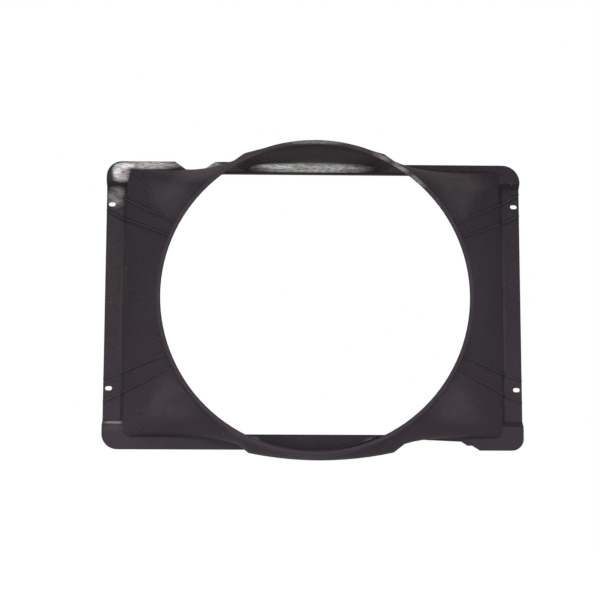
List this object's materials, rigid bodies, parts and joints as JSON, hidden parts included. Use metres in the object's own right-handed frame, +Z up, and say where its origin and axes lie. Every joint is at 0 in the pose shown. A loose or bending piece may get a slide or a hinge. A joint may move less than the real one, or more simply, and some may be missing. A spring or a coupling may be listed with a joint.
{
  "type": "radiator fan shroud",
  "caption": "Moulded fan shroud: a rectangular radiator flange with oblong bolt slots, a hood that blends from rectangle to circle, radial ribs and a round collar with a flared lip.",
  "frame": {"origin": "on the fan axis, in the plane of the flange's rear faces that lie on the radiator's side brackets", "axes": "+X across the radiator to the right as seen from the engine side, +Z up, -Y along the fan axis from the radiator towards the fan and engine"},
  "size_m": [0.7, 0.123, 0.525],
  "materials": {
    "moulded_plastic": "fine grain, slightly dusty, semi-matte charcoal",
    "edge_rubber": "matte black"
  },
  "bodies": {
    "root": {"shroud_moulding": "moulded_plastic", "upper_edge_seal": "edge_rubber", "lower_edge_seal": "edge_rubber"}
  },
  "joints": []
}
